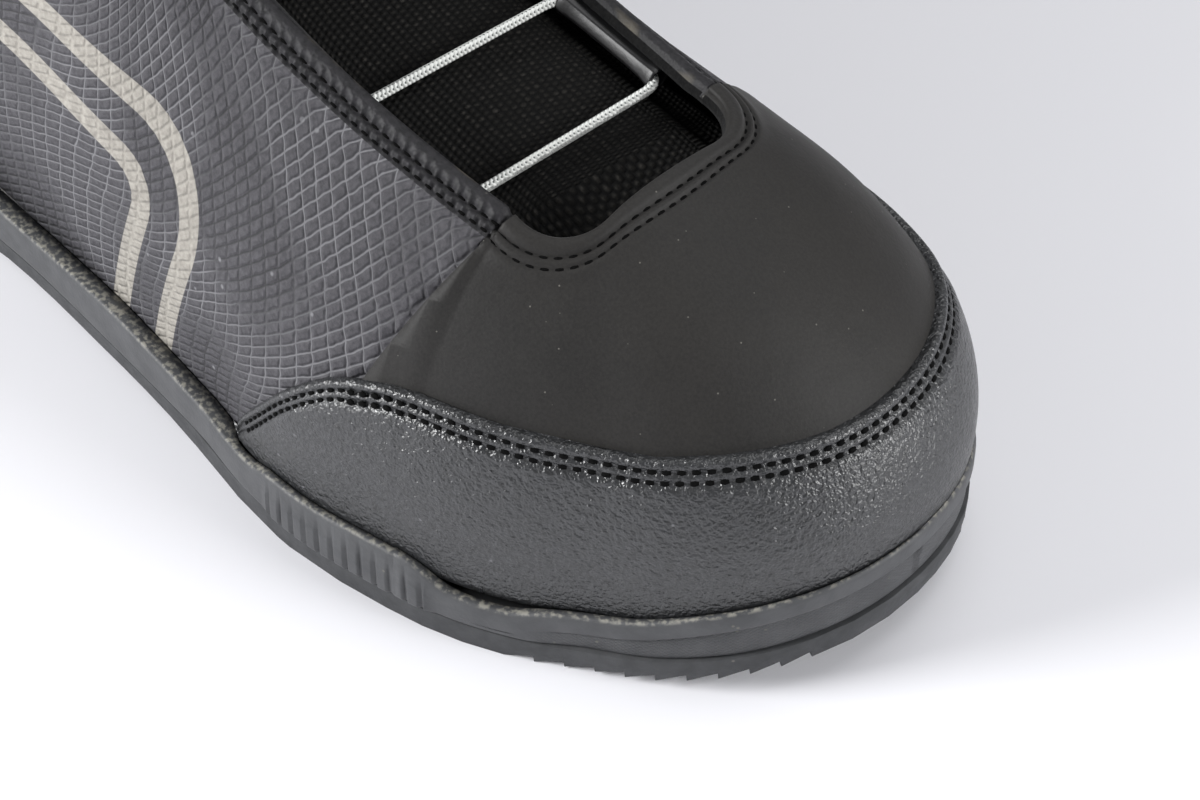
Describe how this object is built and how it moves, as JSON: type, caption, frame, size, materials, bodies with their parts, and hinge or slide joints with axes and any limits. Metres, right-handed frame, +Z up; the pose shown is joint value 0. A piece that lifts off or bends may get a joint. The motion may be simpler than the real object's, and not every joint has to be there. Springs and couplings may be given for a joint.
{
  "type": "snowboard boot",
  "caption": "Tall right snowboard boot with a moulded toe rand, ribbed cup midsole, lugged sole, open throat with a padded tongue and a thin lace in straight bars.",
  "frame": {"origin": "on the floor, on the flat heel lug under the centre of the heel", "axes": "+X to the toe, +Y to the wearer's left (the inner side of this right boot), +Z up"},
  "size_m": [0.3084, 0.1234, 0.2964],
  "materials": {
    "upper": "matt dark grey coated textile",
    "rand": "semi-gloss pebbled dark grey",
    "midsole": "matt moulded dark grey",
    "outsole": "matt dark grey",
    "insole": "matt black",
    "tongue": "matt black mesh",
    "lace": "braided off-white",
    "lace_guide": "matt black"
  },
  "bodies": {
    "root": {"upper": "upper", "toe_rand": "rand", "midsole": "midsole", "outsole": "outsole", "insole": "insole", "tongue": "tongue", "lace": "lace", "lace_guide_inner_1": "lace_guide", "lace_guide_outer_1": "lace_guide", "lace_guide_inner_2": "lace_guide", "lace_guide_outer_2": "lace_guide", "lace_guide_inner_3": "lace_guide", "lace_guide_outer_3": "lace_guide", "lace_guide_inner_4": "lace_guide", "lace_guide_outer_4": "lace_guide"}
  },
  "joints": []
}
